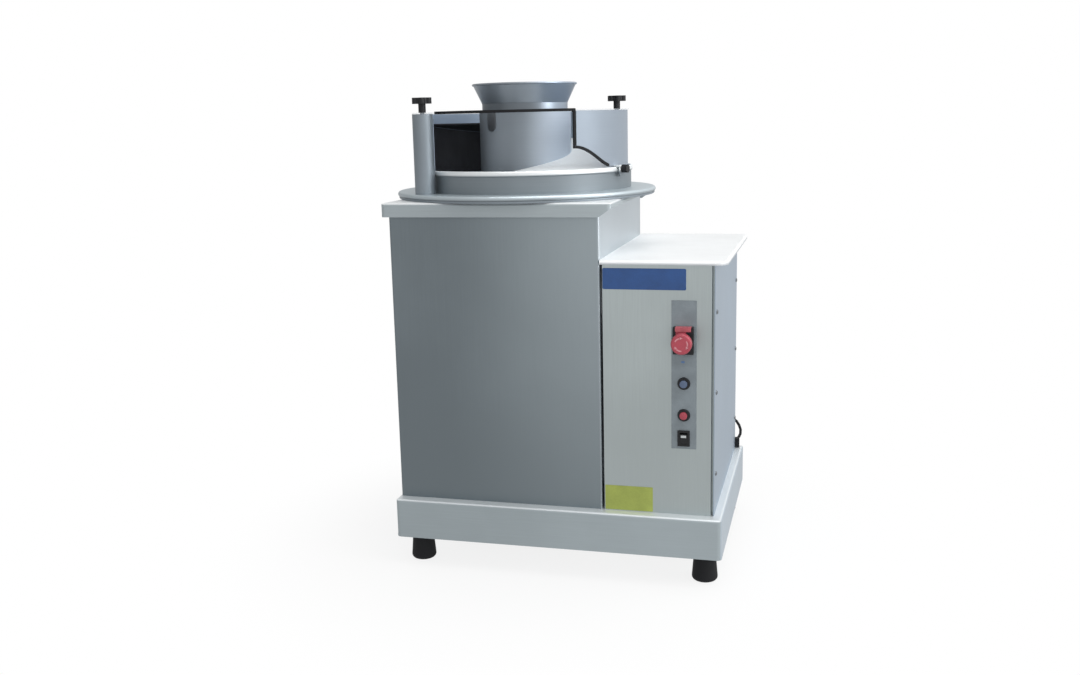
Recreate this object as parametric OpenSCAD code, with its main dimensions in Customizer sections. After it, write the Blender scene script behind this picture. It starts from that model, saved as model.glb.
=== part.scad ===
// Dough rounder: a hopper feeds a rounding bowl that stands on a floor cabinet,
// with a lower control box beside it. All sizes are in millimetres.
// Sizes are laid out from the front left bottom corner of the plinth: X to the right,
// Y to the back, Z up. seat() then moves the whole to its origin, on the floor below
// the middle of the footprint. Pieces of the head are laid out from the bowl's axis.

/* [Plinth] */
// Width of the plinth
base_w = 730; // [715:1:760]
// Depth of the plinth
base_d = 564; // [550:1:590]
// Height of the plinth
base_h = 88; // [70:1:110]
// Thickness of the housing sheet
sheet = 2; // [1.5:0.1:2.5]
// Outer radius of the sheet bends
bend_r = 6; // [4:0.5:7]
// Radius of the plinth's upright corners
base_corner = 10; // [7:0.5:14]
// Width of the flange turned in under the plinth
base_flange = 22; // [16:1:30]
// Margin left round the openings in the plinth's deck
deck_margin = 62; // [55:1:75]

/* [Feet] */
// Height of a rubber foot
foot_h = 68; // [50:1:80]
// Radius of a foot at the plinth
foot_top_r = 23; // [20:0.5:26]
// Radius of a foot at its widest
foot_low_r = 28; // [25:0.5:32]
// Radius of the rounded lower edge of a foot
foot_edge_r = 9; // [5:0.5:12]
// Distance of a foot's axis from the plinth's side
foot_in_x = 41; // [36:1:55]
// Distance of a foot's axis from the plinth's front or back
foot_in_y = 60; // [50:1:75]
// Radius of the stud in a foot
foot_stud_r = 5; // [4:0.5:6]
// Length of the stud inside the foot
foot_stud_in = 40; // [30:1:45]
// Thickness of the corner plates that take the studs
corner_plate = 5; // [4:0.5:8]

/* [Cabinet] */
// Width of the cabinet
cab_w = 466; // [440:1:480]
// Visible height of the cabinet between plinth and top
cab_h = 633; // [600:1:660]
// Ledge of the plinth on the cabinet's left
left_ledge = 5; // [3:1:15]
// Ledge of the plinth on the control box's right
right_ledge = 19; // [14:1:26]
// Ledge of the plinth along the front
front_ledge = 27; // [20:1:32]
// Ledge of the plinth along the back
rear_ledge = 27; // [24:1:32]
// Height of the top's folded skirt
slab_h = 30; // [24:1:40]
// Overhang of the top on the left
slab_left = 14; // [6:1:18]
// Overhang of the top on the right, over the control box
slab_right = 28; // [20:1:32]
// Height of the lip left of the skirt on the right
slab_lip = 10; // [8:0.5:14]
// Overhang of the top at the front
slab_front = 9; // [5:1:14]
// Overhang of the top at the back
slab_rear = 23; // [15:1:30]
// Radius of the top's corners
slab_corner = 10; // [8:1:16]

/* [Control box] */
// Height of the control box above the plinth
ctl_h = 544; // [510:1:570]
// Overhang of the control box top on the right
ctl_over = 24; // [16:1:30]
// Overhang of the control box top at the front
ctl_lip = 5; // [3:1:8]
// Overhang of the control box top at the back
ctl_rear = 24; // [12:1:30]
// Height of the folded edge round the control box top
ctl_skirt = 9; // [8:0.5:12]
// Radius of the corners of the control box top
ctl_corner = 26; // [16:1:32]
// Shadow gap left of the front panel
gap_left = 5; // [4:0.5:7]
// Shadow gap right of the front panel
gap_right = 5; // [3:0.5:6]
// Depth of the panel's folded edges
panel_fold = 14; // [10:1:20]
// Radius of the side cover's screw heads
screw_r = 5; // [4:0.5:6]
// Height of the side cover's screw heads
screw_h = 3; // [2:0.5:4]
// Distance of the screws from the side cover's front and back
screw_in = 26; // [18:1:32]

/* [Controls] */
// Width of the control strip
strip_w = 52; // [48:1:56]
// Height of the control strip
strip_h = 316; // [300:1:330]
// Thickness of the control strip
strip_t = 1.5; // [1:0.1:2]
// Distance of the strip's top below the control box top
strip_down = 82; // [66:1:96]
// Distance of the strip's middle from the control box's right side
strip_in = 64; // [56:1:72]
// Width of the emergency stop's housing
estop_w = 42; // [38:1:46]
// Height of the emergency stop's housing
estop_h = 56; // [50:1:60]
// Depth of the emergency stop's housing
estop_d = 16; // [12:1:20]
// Distance of the stop's axis below the strip's top
estop_down = 83; // [76:1:92]
// Radius of the mushroom
estop_r = 21.5; // [18:0.5:23]
// Thickness of the mushroom
estop_cap = 18; // [14:1:22]
// Free length of the neck behind the mushroom
estop_neck = 14; // [10:1:18]
// Travel of the emergency stop
estop_travel = 5; // [3:0.5:6]
// Distance of the start button below the strip's top
start_down = 175; // [165:1:185]
// Distance of the stop button below the strip's top
stop_down = 243; // [232:1:248]
// Radius of a button's bezel
bezel_r = 13.5; // [12:0.5:15]
// Height of a button's bezel
bezel_h = 5; // [4:0.5:7]
// Radius of a button
button_r = 8; // [6.5:0.5:9]
// How far a button stands out of its bezel
button_out = 4; // [3.5:0.5:6]
// Travel of a button
button_travel = 3; // [2:0.5:3.5]
// Radius of the panel holes for stop and buttons
panel_hole_r = 11.2; // [10.5:0.1:11.4]
// Distance of the rocker below the strip's top
rocker_down = 293; // [288:1:298]
// Width of the rocker switch
rocker_w = 25.5; // [24:0.5:27]
// Height of the rocker switch
rocker_h = 34; // [31:0.5:36]
// Half of the rocker's tilt
rocker_tilt = 9; // [6:1:10]

/* [Bowl] */
// Distance of the bowl's axis right of the cabinet's middle
head_right = 8.5; // [4:0.5:12]
// Radius of the base disc
disc_r = 298; // [290:1:304]
// Radius of the disc's rolled edge
disc_bead = 5.5; // [5:0.5:7]
// Height of the disc's rim above the cabinet top
disc_lift = 4; // [3:0.5:8]
// Radius of the bowl ring
ring_r = 245; // [241:1:248]
// Height of the bowl ring up to the top of its lip
ring_h = 49; // [44:1:54]
// Thickness of the bowl ring's wall
ring_t = 3; // [2:0.5:4]
// Height of the ring's rolled lip
lip_h = 12; // [10:0.5:14]
// Thickness of the ring's rolled lip
lip_t = 6; // [5:0.5:7]
// Radius of the turntable
table_r = 226; // [218:1:226]
// Height of the turntable's rim above the base disc
table_up = 20; // [16:1:24]
// Rise of the turntable from its rim to the feed tube
table_rise = 8; // [6:1:10]
// Height of the cone in the middle of the turntable
cone_h = 52; // [40:1:60]

/* [Guard] */
// Gap between the guard wall and the ring around it
wall_gap = 4.3; // [3:0.1:5]
// Height of the guard wall above the ring's lip
wall_h = 123; // [112:1:132]
// Thickness of the guard wall
wall_t = 2; // [1.5:0.1:2.5]
// Azimuth of the guard's cut edge at the front right
open_right = -48.5; // [-55:0.5:-42]
// Height of the cut edge's corner above the ring's lip
cut_up = 46; // [38:1:54]
// Azimuth at which the cut runs out on the ring's lip
cut_end = -20; // [-24:0.5:-16]
// Width of the black edge trim
trim_w = 6; // [5:0.5:9]
// Thickness of the black edge trim
trim_t = 5; // [4.5:0.5:7]
// Azimuth of the rear post; the front post stands opposite
post_a = 49; // [44:1:54]
// Radius of a post
post_r = 22.3; // [20:0.1:24]
// Azimuth the guard's left end reaches behind the front post
post_hide = 4; // [2:0.5:5]
// Thickness of the lid plate
lid_t = 3; // [2:0.5:4]
// Width of the necks that join the lid's ears to the lid
ear_w = 24; // [20:1:30]

/* [Feed] */
// Radius of the feed tube
tube_r = 105; // [100:0.5:108]
// Thickness of the feed tube
tube_t = 2; // [1.5:0.1:2.5]
// Gap between the feed tube and the turntable
tube_gap = 4; // [3:0.5:6]
// Radius of the hopper's neck
neck_r = 98; // [92:0.5:99]
// Radius of the hopper's mouth
mouth_r = 120; // [112:0.5:124]
// Height of the neck above the lid
neck_h = 17; // [10:1:22]
// Height of the hopper's cone
hopper_h = 46; // [38:1:54]
// Thickness of the hopper's sheet
hopper_t = 2; // [1.5:0.1:2.5]
// Radius of the bead round the hopper's mouth
mouth_bead = 2.5; // [2:0.1:3]
// Height of the spiral track's foot above the base disc's rim
track_up = 43; // [38:0.5:46]
// Climb of the spiral track in a full turn
track_pitch = 140; // [120:1:144]
// Azimuth of the spiral track's foot
track_a0 = -90; // [-96:1:-84]
// Azimuth of the spiral track's upper end
track_a1 = 185; // [175:1:195]
// Azimuth up to which the track's outer edge runs along the ring's lip
bank_a0 = -12; // [-18:1:-6]
// Azimuth from which the track lies level across
bank_a1 = 55; // [40:1:70]
// Thickness of the spiral track and of small plates
plate_t = 3; // [2:0.5:4]
// Thickness of the black liner inside the guard
liner_t = 2; // [1.5:0.1:3]
// Azimuth at which the liner starts behind the feed tube
liner_a0 = 95; // [85:1:110]

/* [Knobs] */
// Radius of a clamp knob
knob_r = 23; // [20:0.5:26]
// Height of a clamp knob's head
knob_h = 13; // [10:0.5:16]
// Radius of a clamp knob's stem
stem_r = 8; // [7:0.5:9]
// Height of a clamp knob's stem
stem_h = 19; // [14:1:26]
// Radius of a clamp knob's stud
stud_r = 5; // [4:0.5:6]
// Depth of the stud in its post
stud_in = 36; // [28:1:44]
// Azimuth of the guard's latch
latch_a = -17.5; // [-18:0.5:-12]
// Radius of the latch knob
latch_r = 9; // [7:0.5:10]

/* [Drive] */
// Radius of the bowl's drive shaft
shaft_r = 15; // [12:0.5:17]
// Radius of the belt's run on the driven pulley
driven_r = 112; // [100:1:120]
// Radius of the belt's run on the drive pulley
drive_r = 35; // [32:1:38]
// Height of the belt's middle above the plinth
belt_up = 350; // [330:1:370]
// Width of the belt
belt_w = 13; // [10:1:16]
// Thickness of the belt
belt_t = 8; // [6:0.5:9]
// Radius of the gearbox's output shaft
output_r = 10; // [8:0.5:11]
// Radius of the motor
motor_r = 72; // [65:1:78]
// Length of the motor
motor_l = 165; // [150:1:172]
// Side of the gearbox
gear_w = 150; // [140:1:156]
// Height of the gearbox
gear_h = 85; // [75:1:90]
// Thickness of the motor stand's plate
stand_t = 10; // [8:0.5:12]
// Side of the motor stand's legs
leg_w = 25; // [20:1:28]
// Thickness of the bearing bridges
bridge_t = 10; // [8:0.5:14]
// Depth of the bearing bridges
bridge_d = 160; // [140:1:190]
// Height of the lower bridge above the plinth
lower_up = 212; // [190:1:230]
// Drop of the upper bridge below the cabinet's top plate
upper_down = 26; // [22:1:40]

/* [Hidden] */
$fn = 72;
// Running clearance of shafts and studs, and the free gap between loose neighbours
run_gap = 0.05;
gap = 0.3;
trim_play = 0.2;
// Overshoot of cutting shapes
cut = 1;
steel = [0.72, 0.74, 0.76];
dark_steel = [0.45, 0.47, 0.5];
cast = [0.35, 0.37, 0.4];
black = [0.08, 0.08, 0.09];
red = [0.72, 0.1, 0.14];
blue = [0.2, 0.3, 0.5];
clear = [0.8, 0.85, 0.9, 0.4];

// Levels and walls of the housing
deck_z = base_h;
cab_x0 = left_ledge;
cab_x1 = cab_x0 + cab_w;
front_y = front_ledge;
back_y = base_d - rear_ledge;
slab_z0 = deck_z + cab_h;
slab_z1 = slab_z0 + slab_h;
slab_x0 = cab_x0 - slab_left;
slab_x1 = cab_x1 + slab_right;
slab_y0 = front_y - slab_front;
slab_y1 = back_y + slab_rear;
wrap_top = slab_z1 - sheet;
ctl_w = base_w - right_ledge - cab_x1;
ctl_x1 = cab_x1 + ctl_w;
ctl_z1 = deck_z + ctl_h;
ctl_z0 = ctl_z1 - sheet;
panel_x0 = cab_x1 + gap_left;
panel_x1 = ctl_x1 - sheet - gap_right;

// Controls
strip_x = ctl_x1 - strip_in;
strip_z1 = ctl_z1 - strip_down;
strip_y = front_y - strip_t;
estop_z = strip_z1 - estop_down;
estop_y = strip_y - estop_d;
estop_back = estop_y - estop_neck;
estop_face = estop_back - estop_cap;
stem_bore_r = panel_hole_r - 2;
estop_collar = 3;
start_z = strip_z1 - start_down;
stop_z = strip_z1 - stop_down;
rocker_z = strip_z1 - rocker_down;
barrel_l = 22;
rocker_rim = 3;
rocker_t = 3;
rocker_depth = 20;
rocker_wall = 1.5;
rocker_play = 1.4;
rocker_pin_r = 1.5;
rocker_pivot_y = strip_y + 1;

// The head stands on the cabinet's top
head_x = (cab_x0 + cab_x1) / 2 + head_right;
head_y = (slab_y0 + slab_y1) / 2;
disc_z0 = slab_z1 + disc_lift;
disc_z1 = disc_z0 + 2 * disc_bead;
disc_seat_r = ring_r - 46;
disc_step_r = ring_r - 28;
lip_z = disc_z1 + ring_h;
ring_in = ring_r - lip_t;
wall_r = ring_in - wall_gap;
wall_z0 = disc_z1 + gap;
wall_z1 = lip_z + wall_h;
lid_z1 = wall_z1 + lid_t;
post_c = ring_r + gap + post_r;
front_a = post_a - 180;
open_left = front_a - post_hide;
lid_r = wall_r + 2;
table_z = disc_z1 + table_up;
tube_z0 = table_z + table_rise + tube_gap;
liner_r = wall_r - wall_t - run_gap;
track_r = liner_r - liner_t - gap;
track_z = disc_z1 + track_up;
trim_a = 360 * trim_w / 2 / (2 * PI * wall_r);
// Azimuth the black trim stops short of the cut's end
trim_short = 4.5;
cut_mid = (open_right + cut_end) / 2;
cut_half = wall_r * sin((cut_end - open_right) / 2);
clip_a = -120;
clip_w = 25;
clip_h = 41;
hub_r = 36;
hole_r = 60;

// Drive line
belt_z = deck_z + belt_up;
motor_x = cab_x1 + ctl_w / 2;
motor_y = head_y;
stand_down = 25;
stand_z1 = belt_z - belt_w - stand_down;
stand_z0 = stand_z1 - stand_t;
stand_side = 14;
stand_w = ctl_w - 2 * sheet - 2 * stand_side;
stand_d = 260;
gear_z0 = stand_z0 - gear_h;
motor_z0 = gear_z0 - motor_l;
motor_core = motor_r - 10;
lower_z1 = deck_z + lower_up;
upper_z1 = wrap_top - upper_down;
upper_z0 = upper_z1 - bridge_t;
bearing_h = 36;
bearing_flange = 14;
bearing_w = 116;
bearing_pitch = 88;
bearing_boss_r = 40;
bearing_corner = 14;
gear_corner = 16;
gear_bolt_in = 14;
bolt_r = 5;
shaft_z0 = lower_z1 - 2 * bridge_t;
pulley_w = belt_w + 10;
flange_out = 5;
collar_h = 16;

// Cable between the control box's back and the plinth's ledge, points chosen by hand:
// X from the control box's right side, Y from its back, Z above the plinth
cable_r = 3.5;
gland_r = 9;
gland_l = 16;
cable_pts = [[-12, 10, 72], [-12, 18, 72], [-11, 28, 71], [-7, 38, 66], [0, 46, 57], [6, 50, 46],
             [10, 49, 35], [10, 44, 25], [7, 36, 19], [3, 28, 16.5], [1, 20, 16], [1, 12, 16]];
cable_sides = 10;
clamp_w = 18;
clamp_d = 16;
clamp_h = 24;

// Middle of the footprint
mid_x = (head_x - disc_r + ctl_x1 + ctl_over) / 2;
mid_y = (estop_face + head_y + disc_r) / 2;

function dir(a) = [cos(a), sin(a)];
// Height of the guard's cut edge above the lip, t along the wall's tangent
function cut_at(t) = (cut_up - 1) * (1 + cos(180 * (t + cut_half) / (2 * cut_half))) / 2 + 1;
// Height of the spiral track's top face at the feed tube
function track_at(a) = track_z + track_pitch * (a - track_a0) / 360;
// Soft step from 0 to 1 while x runs from x0 to x1
function step_up(x, x0, x1) = let (f = min(max((x - x0) / (x1 - x0), 0), 1)) f * f * (3 - 2 * f);
// Height of its outer edge: banked down to the ring's lip along the outlet, level farther up
function track_edge_at(a) =
    let (level = track_at(a), low = min(level, lip_z - 1)) low + (level - low) * step_up(a, bank_a0, bank_a1);

module seat() {
    translate([-mid_x, -mid_y, foot_h]) children();
}

module on_head(z = 0) {
    translate([head_x, head_y, z]) children();
}

// Flat outline with rounded corners, from its lower left corner
module soft_rect(w, d, r) {
    translate([r, 0]) square([w - 2 * r, d]);
    translate([0, r]) square([w, d - 2 * r]);
    for (x = [r, w - r], y = [r, d - r]) {
        translate([x, y]) circle(r);
    }
}

// Folded pan, solid below its top: bends along the top edges, rounded corners in plan
module bent_pan(w, d, h, bend, corner) {
    intersection() {
        linear_extrude(h) soft_rect(w, d, corner);
        rotate([90, 0, 90]) linear_extrude(w) translate([0, -h]) soft_rect(d, 2 * h, bend);
        translate([0, d, 0]) rotate([90, 0, 0]) linear_extrude(d)
            translate([0, -h]) soft_rect(w, 2 * h, bend);
    }
}

module annulus(r_out, r_in) {
    difference() {
        circle(r_out);
        circle(r_in);
    }
}

// Flat wedge between two azimuths less than half a turn apart
module wedge(a0, a1, r) {
    polygon([[0, 0], r * dir(a0), 1.5 * r * dir((a0 + a1) / 2), r * dir(a1)]);
}

// Turns an outline in tangent and height into a solid along the radius at one azimuth
module radial(a, r0, r1) {
    rotate([0, 0, a]) translate([r0, 0, 0]) rotate([90, 0, 90]) linear_extrude(r1 - r0) children();
}

// Puts a solid that points along +Z onto the panel's front, pointing at the user
module facing(x, y, z) {
    translate([x, y, z]) rotate([90, 0, 0]) children();
}

module at_feet() {
    for (x = [foot_in_x, base_w - foot_in_x], y = [foot_in_y, base_d - foot_in_y]) {
        translate([x, y, 0]) children();
    }
}

module at_post(a) {
    rotate([0, 0, a]) translate([post_c, 0, 0]) children();
}

// Openings that leave a rim of deck below the cabinet and the control box
module deck_openings() {
    for (span = [[cab_x0, cab_x1], [cab_x1, ctl_x1]]) {
        translate([span[0] + deck_margin, front_y + deck_margin])
            square([span[1] - span[0] - 2 * deck_margin, back_y - front_y - 2 * deck_margin]);
    }
}

module base_pan() {
    corner_x = foot_in_x + 2 * foot_top_r;
    corner_y = foot_in_y + 2 * foot_top_r;
    color(steel) {
        difference() {
            bent_pan(base_w, base_d, base_h, bend_r, base_corner);
            translate([sheet, sheet, sheet])
                bent_pan(base_w - 2 * sheet, base_d - 2 * sheet, base_h - 2 * sheet,
                         bend_r - sheet, base_corner - sheet);
            translate([base_flange, base_flange, -cut]) linear_extrude(sheet + 2 * cut)
                square([base_w - 2 * base_flange, base_d - 2 * base_flange]);
            translate([0, 0, base_h - sheet - cut]) linear_extrude(sheet + 2 * cut) deck_openings();
            at_feet() translate([0, 0, -cut]) cylinder(r = foot_stud_r + gap, h = sheet + 2 * cut);
        }
        difference() {
            for (x = [sheet, base_w - sheet - corner_x], y = [sheet, base_d - sheet - corner_y]) {
                translate([x, y, sheet]) cube([corner_x, corner_y, corner_plate]);
            }
            at_feet() translate([0, 0, -cut])
                cylinder(r = foot_stud_r + gap, h = sheet + corner_plate + 2 * cut);
        }
    }
}

module rubber_feet() {
    color(black) at_feet() difference() {
        translate([0, 0, -foot_h]) rotate_extrude() {
            square([foot_low_r - foot_edge_r, foot_edge_r]);
            translate([foot_low_r - foot_edge_r, foot_edge_r]) intersection() {
                circle(foot_edge_r);
                translate([0, -foot_edge_r]) square(foot_edge_r);
            }
            polygon([[0, foot_edge_r], [foot_low_r, foot_edge_r], [foot_top_r, foot_h], [0, foot_h]]);
        }
        translate([0, 0, -foot_stud_in]) cylinder(r = foot_stud_r + run_gap, h = foot_stud_in + cut);
    }
}

module foot_studs() {
    nut_z = sheet + corner_plate;
    color(dark_steel) at_feet() {
        translate([0, 0, -foot_stud_in]) cylinder(r = foot_stud_r, h = foot_stud_in + nut_z + 14);
        translate([0, 0, nut_z]) cylinder(r = 1.8 * foot_stud_r, h = 8, $fn = 6);
    }
}

// Plan of the cabinet's folded wrap: front and both sides, open at the back
module wrap_plan(inset) {
    difference() {
        soft_rect(cab_w, back_y - front_y, bend_r);
        translate([inset, inset])
            soft_rect(cab_w - 2 * inset, back_y - front_y, max(bend_r - inset, 0.5));
    }
}

module cabinet_wrap() {
    top_flange = 16;
    opening_y = 2 * driven_r;
    opening_below = 150;
    opening_above = 110;
    color(steel) translate([cab_x0, front_y, deck_z]) difference() {
        union() {
            linear_extrude(wrap_top - deck_z) wrap_plan(sheet);
            translate([0, 0, wrap_top - deck_z - sheet]) linear_extrude(sheet) wrap_plan(top_flange);
        }
        translate([cab_w - sheet - cut, head_y - front_y - opening_y / 2, belt_up - opening_below])
            cube([sheet + 2 * cut, opening_y, opening_below + opening_above]);
    }
}

module cabinet_back() {
    color(steel) translate([cab_x0 + sheet + gap, back_y - sheet, deck_z])
        cube([cab_w - 2 * sheet - 2 * gap, sheet, wrap_top - deck_z - sheet - gap]);
}

// Cabinet top; on the right its skirt is only a lip, and the skirt's ends rise to that lip at a slant
module top_slab() {
    w = slab_x1 - slab_x0;
    d = slab_y1 - slab_y0;
    slant_x = cab_x1 - slab_x0;
    color(steel) translate([slab_x0, slab_y0, slab_z0]) difference() {
        bent_pan(w, d, slab_h, bend_r, slab_corner);
        translate([sheet, sheet, -cut])
            bent_pan(w - 2 * sheet, d - 2 * sheet, slab_h - sheet + cut,
                     bend_r - sheet, slab_corner - sheet);
        translate([head_x - slab_x0, head_y - slab_y0, 0]) cylinder(r = hole_r, h = slab_h + cut);
        translate([0, d + cut, 0]) rotate([90, 0, 0]) linear_extrude(d + 2 * cut)
            polygon([[slant_x, -cut], [slant_x, 0], [w + cut, slab_h - slab_lip], [w + cut, -cut]]);
    }
}

// Bridge between the cabinet's side walls, drilled for the shaft and a flange bearing
module bridge(z0) {
    color(dark_steel) difference() {
        translate([cab_x0 + sheet, head_y - bridge_d / 2, z0])
            cube([cab_w - 2 * sheet, bridge_d, bridge_t]);
        on_head(z0 - cut) cylinder(r = shaft_r + 4, h = bridge_t + 2 * cut);
        at_bearing_bolts(z0 - cut) cylinder(r = bolt_r + run_gap, h = bridge_t + 2 * cut);
    }
}

module at_bearing_bolts(z) {
    for (sx = [-1, 1], sy = [-1, 1]) {
        on_head(z) translate([sx * bearing_pitch / 2, sy * bearing_pitch / 2, 0]) children();
    }
}

module upper_bridge() {
    bridge(upper_z0);
}

module lower_bridge() {
    bridge(lower_z1 - bridge_t);
}

// Square flange bearing, flange at z = 0 and boss upwards
module flange_bearing() {
    color(cast) difference() {
        union() {
            translate([-bearing_w / 2, -bearing_w / 2, 0]) linear_extrude(bearing_flange)
                soft_rect(bearing_w, bearing_w, bearing_corner);
            cylinder(r = bearing_boss_r, h = bearing_h);
        }
        translate([0, 0, -cut]) cylinder(r = shaft_r + run_gap, h = bearing_h + 2 * cut);
        for (sx = [-1, 1], sy = [-1, 1]) {
            translate([sx * bearing_pitch / 2, sy * bearing_pitch / 2, -cut])
                cylinder(r = bolt_r + run_gap, h = bearing_flange + 2 * cut);
        }
    }
}

module upper_bearing() {
    on_head(upper_z0) mirror([0, 0, 1]) flange_bearing();
}

module lower_bearing() {
    on_head(lower_z1) flange_bearing();
}

module bearing_bolts() {
    grip = bridge_t + bearing_flange;
    head = 6;
    color(dark_steel) {
        for (z0 = [upper_z0 - bearing_flange, lower_z1 - bridge_t]) {
            at_bearing_bolts(z0 - head) cylinder(r = bolt_r, h = grip + 2 * head);
            at_bearing_bolts(z0 - head) cylinder(r = 1.8 * bolt_r, h = head, $fn = 6);
            at_bearing_bolts(z0 + grip) cylinder(r = 1.8 * bolt_r, h = head, $fn = 6);
        }
    }
}

// Holes for the stop, the buttons and the rocker, through anything near the panel
module control_holes() {
    for (z = [estop_z, start_z, stop_z]) {
        facing(strip_x, front_y + 3 * sheet, z) cylinder(r = panel_hole_r, h = 6 * sheet);
    }
    w = rocker_w - 2 * rocker_rim;
    h = rocker_h - 2 * rocker_rim;
    translate([strip_x - w / 2, front_y - 3 * sheet, rocker_z - h / 2]) cube([w, 6 * sheet, h]);
}

module control_front() {
    w = panel_x1 - panel_x0;
    h = ctl_z0 - gap - deck_z;
    color(steel) difference() {
        translate([panel_x0, front_y, deck_z]) difference() {
            cube([w, panel_fold, h]);
            translate([sheet, sheet, sheet]) cube([w - 2 * sheet, panel_fold, h - 2 * sheet]);
        }
        control_holes();
    }
}

// Screw places on the side cover: two columns of three
module at_side_screws() {
    rows = [0.16, 0.485, 0.8];
    for (y = [front_y + screw_in, back_y - screw_in], f = rows) {
        translate([ctl_x1, y, deck_z + f * ctl_h]) rotate([0, 90, 0]) children();
    }
}

module side_cover() {
    fold = 40;
    h = ctl_z0 - gap - deck_z;
    color(steel) difference() {
        union() {
            translate([ctl_x1 - sheet, front_y, deck_z]) cube([sheet, back_y - front_y, h]);
            translate([ctl_x1 - fold, front_y + panel_fold + gap, deck_z]) cube([fold, sheet, h]);
        }
        at_side_screws() translate([0, 0, -3 * sheet]) cylinder(r = screw_r / 2, h = 4 * sheet);
    }
}

module side_screws() {
    color(dark_steel) at_side_screws() {
        translate([0, 0, -4 * sheet]) cylinder(r = screw_r / 2 - run_gap, h = 4 * sheet);
        intersection() {
            cylinder(r = screw_r, h = screw_h);
            translate([0, 0, screw_h - 2 * screw_r]) sphere(2 * screw_r);
        }
    }
}

module control_back() {
    x0 = cab_x1;
    w = ctl_w - sheet - gap;
    slots = 7;
    slot_w = w * 0.5;
    slot_h = 7;
    slot_pitch = 18;
    color(steel) difference() {
        translate([x0, back_y - sheet, deck_z]) cube([w, sheet, ctl_z0 - deck_z]);
        for (i = [0 : slots - 1]) {
            translate([x0 + (w - slot_w) / 2, back_y - 2 * sheet, deck_z + ctl_h * 0.62 + i * slot_pitch])
                cube([slot_w, 4 * sheet, slot_h]);
        }
        translate([ctl_x1 + cable_pts[0][0], back_y - 2 * sheet, deck_z + cable_pts[0][2]])
            rotate([-90, 0, 0]) cylinder(r = cable_r + gap, h = 4 * sheet);
    }
}

// Control box top: a shallow pan, cut off square against the cabinet
module control_top() {
    run = 2 * ctl_corner;
    w = run + ctl_w + ctl_over;
    d = back_y - front_y + ctl_lip + ctl_rear;
    color(steel) translate([cab_x1 - run, front_y - ctl_lip, ctl_z1 - ctl_skirt]) difference() {
        bent_pan(w, d, ctl_skirt, bend_r, ctl_corner);
        translate([sheet, sheet, -cut])
            bent_pan(w - 2 * sheet, d - 2 * sheet, ctl_skirt - sheet + cut,
                     bend_r - sheet, ctl_corner - sheet);
        translate([-cut, -cut, -cut]) cube([run + cut, d + 2 * cut, ctl_skirt + 2 * cut]);
    }
}

module control_strip() {
    color(dark_steel) difference() {
        translate([strip_x - strip_w / 2, strip_y, strip_z1 - strip_h]) cube([strip_w, strip_t, strip_h]);
        control_holes();
    }
}

module estop_housing() {
    color(black) difference() {
        union() {
            translate([strip_x - estop_w / 2, estop_y, estop_z - estop_h * 0.48])
                cube([estop_w, estop_d, estop_h]);
            facing(strip_x, front_y + barrel_l, estop_z)
                cylinder(r = panel_hole_r - run_gap, h = barrel_l + strip_t);
        }
        facing(strip_x, front_y + barrel_l - 2 * sheet, estop_z)
            cylinder(r = stem_bore_r, h = barrel_l + 2 * estop_d);
    }
}

module estop_stem() {
    back = front_y + barrel_l - 2 * sheet - estop_travel - gap;
    color(black) {
        facing(strip_x, back, estop_z)
            cylinder(r = stem_bore_r - run_gap, h = back - estop_back + estop_cap / 2);
        facing(strip_x, estop_back + estop_neck - estop_travel - gap, estop_z)
            cylinder(r = stem_bore_r + estop_collar, h = estop_neck - estop_travel - 2 * gap);
    }
}

module estop_cap() {
    edge = 4;
    color(red) facing(strip_x, estop_back, estop_z) difference() {
        rotate_extrude() {
            square([estop_r - edge, estop_cap]);
            translate([0, edge]) square([estop_r, estop_cap - 2 * edge]);
            for (y = [edge, estop_cap - edge]) {
                translate([estop_r - edge, y]) circle(edge);
            }
        }
        translate([0, 0, -cut]) cylinder(r = stem_bore_r, h = estop_cap / 2 + gap + cut);
        for (a = [90, 210, 330]) {
            rotate([0, 0, a]) translate([estop_r * 0.62, 0, estop_cap - 1])
                linear_extrude(2 * cut) polygon([[-3.5, 3], [0, -4], [3.5, 3]]);
        }
    }
}

// Bezel with a threaded barrel through the panel, bored for its button
module bezel(z) {
    color(black) facing(strip_x, front_y + barrel_l, z) difference() {
        union() {
            cylinder(r = panel_hole_r - run_gap, h = barrel_l + strip_t);
            translate([0, 0, barrel_l + strip_t]) cylinder(r1 = bezel_r, r2 = bezel_r - 1.5, h = bezel_h);
        }
        translate([0, 0, 2 * sheet]) cylinder(r = button_r + run_gap, h = barrel_l + strip_t + bezel_h);
    }
}

// Push button with a slightly domed face
module push_button(z) {
    back = front_y + barrel_l - 2 * sheet - button_travel - gap;
    tip = strip_y - bezel_h - button_out;
    dome = 4 * button_r;
    facing(strip_x, back, z) intersection() {
        cylinder(r = button_r, h = back - tip);
        translate([0, 0, back - tip - dome]) sphere(dome);
    }
}

module start_bezel() {
    bezel(start_z);
}

module start_button() {
    color(blue) push_button(start_z);
}

module stop_bezel() {
    bezel(stop_z);
}

module stop_button() {
    color(red) push_button(stop_z);
}

module rocker_frame() {
    w = rocker_w - 2 * rocker_rim - 2 * gap;
    h = rocker_h - 2 * rocker_rim - 2 * gap;
    color(black) difference() {
        union() {
            translate([strip_x - rocker_w / 2, strip_y - rocker_t, rocker_z - rocker_h / 2])
                cube([rocker_w, rocker_t, rocker_h]);
            translate([strip_x - w / 2, strip_y - cut, rocker_z - h / 2])
                cube([w, rocker_depth + cut, h]);
        }
        translate([strip_x - w / 2 + rocker_wall, strip_y - 2 * rocker_t, rocker_z - h / 2 + rocker_wall])
            cube([w - 2 * rocker_wall, rocker_depth + rocker_t, h - 2 * rocker_wall]);
        translate([strip_x - rocker_w / 2, rocker_pivot_y, rocker_z]) rotate([0, 90, 0])
            cylinder(r = rocker_pin_r + run_gap, h = rocker_w);
    }
}

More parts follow.
